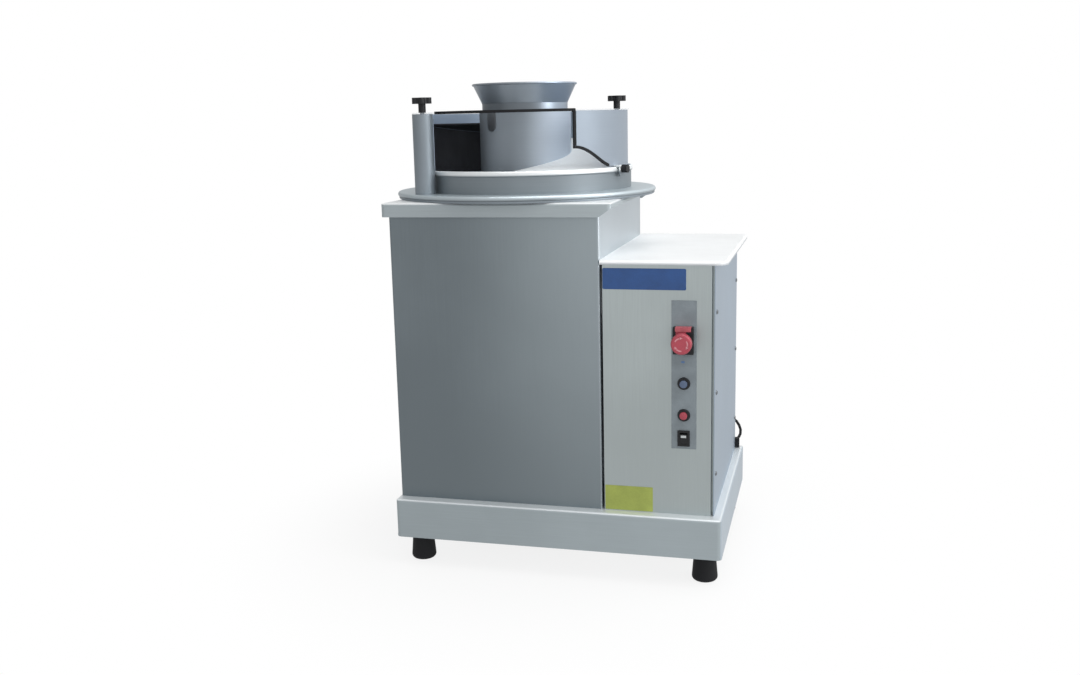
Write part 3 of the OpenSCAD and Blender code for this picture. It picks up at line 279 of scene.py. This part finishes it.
finishes = {
    "cabinet": brushed("cabinet_steel", (0.235, 0.274, 0.298), rough=0.42, grain=UPRIGHT, foot_shade=0.2, zones=[
        # Painted light: the front grows lighter towards its right
        ((0.4, 0.457, 0.487), *reach("cabinet_wrap", ACROSS, 105, 466)),
        # Painted shade: the front darkens towards the bottom
        ((0.2, 0.235, 0.255), *reach("cabinet_wrap", UP, 644, -356)),
        # Painted light: the right wall, facing the light, is paler
        ((0.585, 0.64, 0.68), *folded("cabinet_wrap", ACROSS))]),
    "panel": brushed("panel_steel", (0.54, 0.6, 0.605), rough=0.42, grain=UPRIGHT, foot_shade=0.28, zones=[
        # Painted light: the side cover's right face is paler, as lit from the right
        ((0.44, 0.525, 0.615), *folded("side_cover", ACROSS))]),
    "plinth": brushed("plinth_steel", (0.378, 0.432, 0.456), rough=0.42, grain=LEVEL, metal=0.45, zones=[
        # Painted light: the plinth's top ledge is near white, as lit from above
        ((0.78, 0.82, 0.84), *folded("base_pan", UP)),
        # Painted light: the plinth's right end is paler, as lit from the right
        ((0.47, 0.54, 0.6), *folded("base_pan", ACROSS))]),
    "top": brushed("top_steel", (0.424, 0.478, 0.502), rough=0.4, grain=LEVEL, metal=0.45, zones=[
        # Painted light: the slab's top face is near white, as lit from above
        ((0.9, 0.92, 0.93), *folded("top_slab", UP))]),
    # Painted light: the control box's top is painted near white, as lit from above
    "worktop": brushed("worktop_steel", (0.92, 0.935, 0.94), rough=0.45, grain=LEVEL, metal=0.15, zones=[
        # Painted shade: the front rim darkens towards its lower edge, under the roll
        ((0.5, 0.53, 0.56), *reach("control_top", UP, 6, 0))]),
    "bowl": spun("spun_steel", (0.26, 0.295, 0.32), rough=0.5, metal=0.8, zones=[
        # Painted highlight: the ring's rolled lip is painted near white
        ((0.94, 0.97, 0.98), *reach("bowl_ring", UP, 37, 43))]),
    "disc": spun("disc_steel", (0.3, 0.34, 0.365), rough=0.38, metal=0.7, zones=[
        # Painted light: the disc's top is paler than the rim below, which stays darker as shade
        ((0.53, 0.6, 0.635), *reach("base_disc", UP, 6, 11))]),
    "hopper": spun("hopper_steel", (0.21, 0.235, 0.26), rough=0.36, metal=1.0, zones=[
        # Painted shade: the neck below is painted darker than the cone above it
        ((0.33, 0.365, 0.4), *reach("hopper", UP, 31, 35)),
        # Painted light: the cone grows lighter towards its right
        ((0.43, 0.5, 0.59), *reach("hopper", ACROSS, 150, 220))]),
    "post": spun("post_steel", (0.28, 0.32, 0.355), rough=0.5, metal=0.8),
    "guard": spun("guard_steel", (0.42, 0.52, 0.65), rough=0.5, metal=0.5, zones=[
        # Painted shade: the guard is darker across its right half
        ((0.33, 0.38, 0.44), *reach("bowl_ring", ACROSS, 245, 345))]),
    "track": spun("track_steel", (0.9, 0.93, 0.94), rough=0.5, metal=0.0, zones=[
        # Painted shade: the track's upper end is black, standing for the shade beneath it
        ((0.03, 0.032, 0.037), *reach("spiral_track", UP, 74, 87))]),
    "tube": spun("tube_steel", (0.2, 0.225, 0.25), rough=0.5, metal=0.3, zones=[
        # Painted light and shade across the tube: grey on the left, darker in the middle, pale on the
        # right
        ((0.34, 0.385, 0.43), *reach("feed_tube", ACROSS, 0, 57.75)),
        ((0.25, 0.285, 0.32), *reach("feed_tube", ACROSS, 52.5, 105)),
        ((0.72, 0.81, 0.92), *reach("feed_tube", ACROSS, 120.75, 210))]),
    "clear": clear("clear_sheet", (0.74, 0.8, 0.86), rough=0.12, cover=0.12),
    "strip": moulded("grey_overlay", (0.21, 0.245, 0.268), rough=0.5, grit=900.0, relief=0.1),
    "machined": brushed("machined_steel", (0.28, 0.29, 0.3), rough=0.4, grain=EVEN),
    "casting": moulded("painted_casting", (0.11, 0.12, 0.13), rough=0.6, grit=350.0, relief=0.4),
    "rubber": moulded("black_rubber", (0.009, 0.0095, 0.011), rough=0.7, grit=700.0, relief=0.25,
                      Specular_IOR_Level=0.3),
    "plastic": moulded("black_plastic", (0.013, 0.0135, 0.0155), rough=0.5, grit=1100.0, relief=0.18,
                       Specular_IOR_Level=0.35),
    # Painted shade: a black sheet on the wall, standing for the shade under the track
    "liner": moulded("black_painted_shade", (0.06, 0.063, 0.073), rough=0.75, grit=500.0, relief=0.2),
    "red": moulded("red_plastic", (0.4, 0.06, 0.085), rough=0.34, grit=900.0, relief=0.05),
    "blue": moulded("blue_plastic", (0.1, 0.14, 0.23), rough=0.34, grit=900.0, relief=0.05),
}

wearing = {
    "cabinet": ["cabinet_wrap", "cabinet_back"],
    "panel": ["control_front", "side_cover", "control_back"],
    "plinth": ["base_pan"],
    "top": ["top_slab"],
    "worktop": ["control_top"],
    "bowl": ["bowl_ring", "turntable", "turntable_nut", "latch_bracket", "drive_shaft", "output_shaft"],
    "disc": ["base_disc"],
    "hopper": ["hopper"],
    "post": ["front_post", "rear_post"],
    "guard": ["guard_wall"],
    "track": ["spiral_track"],
    "clear": ["lid_plate"],
    "tube": ["feed_tube"],
    "strip": ["control_strip"],
    "machined": ["foot_studs", "upper_bridge", "lower_bridge", "bearing_bolts", "side_screws",
                 "electrics_plate", "motor_stand", "fan_cover", "drive_pulley", "driven_pulley",
                 "shaft_collar", "terminal_block", "tube_clip"],
    "casting": ["upper_bearing", "lower_bearing", "gearbox", "motor_body"],
    "rubber": ["rubber_feet", "drive_belt", "service_cable", "guard_trim", "lid_trim"],
    "plastic": ["estop_housing", "estop_stem", "start_bezel", "stop_bezel", "rocker_frame",
                "rocker_switch", "contact_blocks", "contactor", "front_knob", "rear_knob", "latch_knob"],
    # The wall liner is painted black as shade
    "liner": ["wall_liner"],
    "red": ["estop_cap", "stop_button"],
    "blue": ["start_button"],
}
for finish, members in wearing.items():
    for name in members:
        nodes[name].data.materials.clear()
        nodes[name].data.materials.append(finishes[finish])


# The camera, solved from the photographed edges

EYE = spot(941.2, -2237.9, 925.5)
YAW, PITCH, ROLL = 0.2598, 0.1944, 0.0230
LENS_PX, WIDE_PX = 1117.9, 1080
SENSOR_MM = 36.0
ahead = Vector((-math.sin(YAW) * math.cos(PITCH), math.cos(YAW) * math.cos(PITCH), -math.sin(PITCH)))
level = Vector((math.cos(YAW), math.sin(YAW), 0))
down = ahead.cross(level)
right = math.cos(ROLL) * level + math.sin(ROLL) * down
below = math.cos(ROLL) * down - math.sin(ROLL) * level
turn = Matrix((right, -below, -ahead)).transposed().to_4x4()
lens = bpy.data.cameras.new("camera")
lens.sensor_width = SENSOR_MM
lens.lens = LENS_PX / WIDE_PX * SENSOR_MM
camera = bpy.data.objects.new("camera", lens)
camera.matrix_world = Matrix.Translation(EYE) @ turn
bpy.context.scene.collection.objects.link(camera)
bpy.context.scene.camera = camera
bpy.context.scene.view_settings.view_transform = "Standard"


# The studio: pale floor that fades into a white surround, and soft lamps

# How strongly floor and surround light the machine, where the camera sees them at 1
AMBIENT = 0.5
# Polished faces see the surround brightest along this way, and away from it down to the least strength
BRIGHT_WAY = (0.8, 0, 0.6)
POLISH_MEAN, POLISH_SWING, POLISH_LEAST = 0.68, 0.42, 0.3
# How far the floor reaches each way, and the distances over which it turns wholly white, in metres
FLOOR_REACH = 14.0
FADE_START, FADE_FULL = 0.35, 0.9
# The share of plain white in the floor near the machine, and how much brighter it is in reflections
NEAR_WHITE, FLOOR_GLINT = 0.84, 0.2


def lamp(name, place, aim, size, power, mirrored=True):
    """Area lamp; one that isn't mirrored lights matt surfaces but leaves no streak on metal."""
    light = bpy.data.lights.new(name, "AREA")
    light.shape = "RECTANGLE"
    light.size, light.size_y = size
    light.energy = power
    made = bpy.data.objects.new(name, light)
    made.location = place
    made.rotation_euler = (Vector(aim) - Vector(place)).to_track_quat("-Z", "Y").to_euler()
    made.visible_glossy = mirrored
    bpy.context.scene.collection.objects.link(made)


def surround():
    """White world. Polished faces see it fall off towards the left and the floor."""
    world = bpy.data.worlds.new("surround")
    bpy.context.scene.world = world
    world.use_nodes = True
    sky = Wire(world.node_tree)
    eye = sky.ray("Is Camera Ray")
    mirror = sky.ray("Is Glossy Ray")
    through = sky.ray("Is Transmission Ray")
    way = sky.node("ShaderNodeTexCoord", out="Generated")
    to_right = sky.node("ShaderNodeVectorMath", {"operation": "DOT_PRODUCT"},
                        {0: way, 1: BRIGHT_WAY}, out="Value")
    polish = (POLISH_MEAN + POLISH_SWING * to_right).clamp(POLISH_LEAST)
    glow = AMBIENT + (1 - AMBIENT) * eye.math("MAXIMUM", through) + mirror * (polish - AMBIENT)
    backdrop = world.node_tree.nodes["Background"]
    feed(sky.tree, backdrop.inputs["Strength"], glow)
    feed(sky.tree, backdrop.inputs["Color"], (1, 1, 1, 1))


def pale_floor():
    """Floor that shows the machine's shadow near it and fades to white further off."""
    f = Finish("pale_floor", (0.93, 0.93, 0.93), 0.7)
    x, y = f.axes()[:2]
    away = (x * x + y * y).math("SQRT").between(FADE_START, FADE_FULL)
    eye = f.any.ray("Is Camera Ray")
    mirror = f.any.ray("Is Glossy Ray")
    glow = AMBIENT + (1 - AMBIENT) * eye + FLOOR_GLINT * mirror
    white = f.any.node("ShaderNodeEmission", inputs={"Color": (1, 1, 1, 1), "Strength": glow})
    fade = f.any.node("ShaderNodeMixShader", inputs={
        0: NEAR_WHITE + (1 - NEAR_WHITE) * away, 1: Wire(f.tree, f.shader.outputs[0]), 2: white})
    feed(f.tree, f.tree.nodes["Material Output"].inputs["Surface"], fade)

    bm = bmesh.new()
    bmesh.ops.create_grid(bm, x_segments=1, y_segments=1, size=FLOOR_REACH)
    sheet = bpy.data.meshes.new("floor")
    bm.to_mesh(sheet)
    bm.free()
    sheet.materials.append(f.made)
    floor = bpy.data.objects.new("floor", sheet)
    bpy.context.scene.collection.objects.link(floor)


lamp("overhead", place=(1.2, -0.3, 3.2), aim=(0, 0, 0.6), size=(2.8, 2.8), power=46)
lamp("right_side", place=(3.2, -0.7, 1.7), aim=(0.1, 0, 0.6), size=(1.4, 2.4), power=36)
lamp("front_fill", place=(1.3, -3.2, 1.15), aim=(0, 0, 0.85), size=(2.4, 1.6), power=30, mirrored=False)
surround()
pale_floor()


# Soft edges on the folded, moulded and turned solids, width in millimetres

SOFT_EDGES = {
    1.4: ["front_knob", "rear_knob"],
    0.9: ["estop_housing", "start_bezel", "stop_bezel", "latch_knob", "front_post", "rear_post"],
    0.6: ["rocker_frame", "rocker_switch", "start_button", "stop_button", "lid_plate", "tube_clip",
          "latch_bracket", "lid_trim", "turntable", "service_cable"],
    0.4: ["guard_trim", "guard_wall", "feed_tube", "spiral_track"],
}
# Corners closer than this are one, and edges that turn more than this are softened, in these steps
SAME_CORNER = 1e-5
SHARP_TURN = math.radians(40)
EDGE_STEPS = 2

for width, members in SOFT_EDGES.items():
    for name in members:
        weld = nodes[name].modifiers.new("weld", "WELD")
        weld.merge_threshold = SAME_CORNER
        bevel = nodes[name].modifiers.new("soft_edges", "BEVEL")
        bevel.width = width / 1000
        bevel.segments = EDGE_STEPS
        bevel.limit_method = "ANGLE"
        bevel.angle_limit = SHARP_TURN
        nodes[name].modifiers.new("flat_faces", "WEIGHTED_NORMAL").keep_sharp = True


# How small pieces are made, with sizes in millimetres

# Steps in the round of a plate's corner
CORNER_STEPS = 5


def finish_piece(name, bm, body, material):
    """Makes a piece of a bmesh, on the body it moves with."""
    bmesh.ops.recalc_face_normals(bm, faces=bm.faces)
    mesh = bpy.data.meshes.new(name)
    bm.to_mesh(mesh)
    bm.free()
    mesh.materials.append(material)
    made = bpy.data.objects.new(name, mesh)
    bpy.context.scene.collection.objects.link(made)
    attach(made, body)


def block(bm, size, place):
    """Adds a box, put in its place by a matrix."""
    made = bmesh.ops.create_cube(bm, size=1.0)["verts"]
    bmesh.ops.scale(bm, vec=Vector(size) / 1000, verts=made)
    bmesh.ops.transform(bm, matrix=place, verts=made)


def round_off(bm, edges, radius, steps):
    """Rounds edges of a small piece."""
    bmesh.ops.bevel(bm, geom=list(edges), offset=radius / 1000, affect="EDGES", segments=steps,
                    profile=0.5, material=-1)


def plate(name, low, high, body, material, corner, edge, tilt=0.0):
    """Thin upright plate between two places, with rounded corners and a soft front."""
    bm = bmesh.new()
    block(bm, Vector(high) - Vector(low), Matrix())
    through = [e for e in bm.edges if abs(e.verts[0].co.y - e.verts[1].co.y) > SAME_CORNER]
    round_off(bm, through, corner, CORNER_STEPS)
    front = [e for e in bm.edges if all(v.co.y < 0 for v in e.verts)]
    round_off(bm, front, edge, EDGE_STEPS)
    middle = Matrix.Translation(spot(*((Vector(low) + Vector(high)) / 2)))
    bmesh.ops.transform(bm, matrix=middle @ Matrix.Rotation(tilt, 4, "X"), verts=bm.verts)
    finish_piece(name, bm, body, material)


# Plates on the control box

# How far the rocker's upper face leans at rest
ROCKER_LEAN = math.radians(18)

badge_blue = moulded("badge_blue", (0.016, 0.07, 0.23), rough=0.4, grit=700.0, relief=0.05,
                     Coat_Weight=0.3)
label_yellow = moulded("label_yellow", (0.33, 0.385, 0.085), rough=0.5, grit=600.0, relief=0.05)
mark_pink = moulded("mark_pink", (0.6, 0.26, 0.29), rough=0.45, grit=900.0, relief=0.05)
band_red = moulded("band_red", (0.5, 0.115, 0.14), rough=0.4, grit=900.0, relief=0.05)
lamp_blue = moulded("lamp_blue", (0.1, 0.19, 0.38), rough=0.35, grit=900.0, relief=0.05)
window_white = moulded("window_white", (0.62, 0.65, 0.66), rough=0.3, grit=900.0, relief=0.03)

plate("badge", low=(476.5, 25.8, 571), high=(651, 27, 615.5),
      body="housing", material=badge_blue, corner=3.0, edge=0.5)
plate("label", low=(477.5, 26.3, 89.5), high=(581, 27, 144),
      body="housing", material=label_yellow, corner=1.5, edge=0.3)
plate("stop_band", low=(630.5, 8.7, 487.5), high=(663.5, 23, 496.9),
      body="housing", material=band_red, corner=0.8, edge=0.4)
plate("stop_neck", low=(632, 8.9, 480), high=(653.5, 10, 488),
      body="housing", material=finishes["red"], corner=0.8, edge=0.3)
plate("lamp_plate", low=(641.5, 25.1, 418.8), high=(648.5, 25.5, 423),
      body="housing", material=lamp_blue, corner=0.8, edge=0.15)
plate("rocker_window", low=(641.5, 20.5, 258.6), high=(652.5, 21.1, 264.6),
      body="rocker", material=window_white, corner=0.8, edge=0.2, tilt=ROCKER_LEAN)


# Three turning arrows on the emergency stop's face, in millimetres and degrees

CAP_LOW, CAP_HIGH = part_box("estop_cap")
STOP_FACE = Vector(((CAP_LOW.x + CAP_HIGH.x) / 2, CAP_LOW.y, (CAP_LOW.z + CAP_HIGH.z) / 2))
ARROW_HEADS = (90, 210, 330)
ARROW_RADIUS, SHAFT_WIDTH = 13.3, 2.6
SHAFT_FROM, SHAFT_TO, SHAFT_STEPS = 17, 64, 8
# An arrow head's half width, and how far its back and its tip lie round from its place
BARB_HALF, BARB_BACK, BARB_TIP = 3.0, 2.6, -3.4
# Where the arrows start behind the face, and how thick they are
SHAFT_DEPTH, BARB_DEPTH, ARROW_THICK = 0.2, 0.6, 0.5


def on_stop(angle, radius, depth):
    """A point on the stop's face by its angle and radius, and its depth behind the face."""
    swing = math.radians(angle)
    return STOP_FACE + Vector((radius * math.cos(swing), depth, radius * math.sin(swing))) / 1000


def stop_arrows():
    """A bowed shaft for each arrow, and a head that fills the pocket moulded at its end."""
    bm = bmesh.new()
    sides = (ARROW_RADIUS - SHAFT_WIDTH / 2, ARROW_RADIUS + SHAFT_WIDTH / 2)
    bow = math.radians(SHAFT_TO - SHAFT_FROM)
    tip = [(ARROW_RADIUS - BARB_HALF, BARB_BACK), (ARROW_RADIUS, BARB_TIP),
           (ARROW_RADIUS + BARB_HALF, BARB_BACK)]
    for head in ARROW_HEADS:
        end = [bm.verts.new(on_stop(head + SHAFT_FROM, radius, SHAFT_DEPTH)) for radius in sides]
        bmesh.ops.spin(bm, geom=[*end, bm.edges.new(end)], cent=STOP_FACE, axis=(0, -1, 0), angle=bow,
                       steps=SHAFT_STEPS)
        barb = [(head + math.degrees(math.atan2(t, r)), math.hypot(r, t)) for r, t in tip]
        bm.faces.new([bm.verts.new(on_stop(angle, radius, BARB_DEPTH)) for angle, radius in barb])
    front = bmesh.ops.extrude_face_region(bm, geom=bm.faces[:])["geom"]
    raised = [g for g in front if isinstance(g, bmesh.types.BMVert)]
    bmesh.ops.translate(bm, vec=(0, -ARROW_THICK / 1000, 0), verts=raised)
    finish_piece("stop_arrows", bm, "estop_head", mark_pink)


# Crosses, edging and packing, in millimetres

# The screws of the side cover: the middle of their crosses from the plinth's corner
CROSS_X, CROSS_YS, CROSS_ZS = 713.8, (53, 511), (175.0, 351.8, 523.2)
CROSS_DEEP, CROSS_LONG, CROSS_WIDE = 0.5, 6.4, 1.1
# The packing ring's section: radius about the bowl's axis, and height from the plinth's corner
SEAT_SECTION = ((286, 751), (294.6, 751), (295.4, 752), (295.4, 755.4), (286, 755.4))
SEAT_STEPS = 160


def screw_cross_shade():
    """A cross painted dark in the head of each side cover screw, standing for the shade in its recess."""
    bm = bmesh.new()
    for y in CROSS_YS:
        for z in CROSS_ZS:
            place = Matrix.Translation(spot(CROSS_X, y, z))
            block(bm, (CROSS_DEEP, CROSS_LONG, CROSS_WIDE), place)
            block(bm, (CROSS_DEEP, CROSS_WIDE, CROSS_LONG), place)
    finish_piece("screw_cross_shade", bm, "housing", finishes["plastic"])


def edging(name, angle, size, place, radius):
    """Short black edging on the cover, placed outwards and sideways from the bowl's axis at an angle."""
    bm = bmesh.new()
    outward = Matrix.Translation(HEAD) @ Matrix.Rotation(math.radians(angle), 4, "Z")
    x, y, z = place
    block(bm, size, outward @ Matrix.Translation((x / 1000, y / 1000, spot(0, 0, z).z)))
    round_off(bm, bm.edges[:], radius, EDGE_STEPS)
    finish_piece(name, bm, "cover", finishes["rubber"])


def disc_seat():
    """Packing ring in the disc's rolled rim, closing the gap down to the top."""
    bm = bmesh.new()
    section = [bm.verts.new(HEAD + Vector((radius / 1000, 0, spot(0, 0, height).z)))
               for radius, height in SEAT_SECTION]
    rim = [bm.edges.new((a, b)) for a, b in zip(section, section[1:] + section[:1])]
    bmesh.ops.spin(bm, geom=section + rim, cent=HEAD, axis=(0, 0, 1), angle=math.tau,
                   steps=SEAT_STEPS, use_merge=True)
    finish_piece("disc_seat", bm, "housing", finishes["post"])


stop_arrows()
screw_cross_shade()
disc_seat()
edging("ear_trim", angle=-131, size=(7.6, 2.4, 6.0), place=(241.2, 13.4, 940), radius=0.5)
edging("trim_corner", angle=-49, size=(5.0, 8.4, 7.6), place=(236.9, 0, 939.2), radius=1.4)
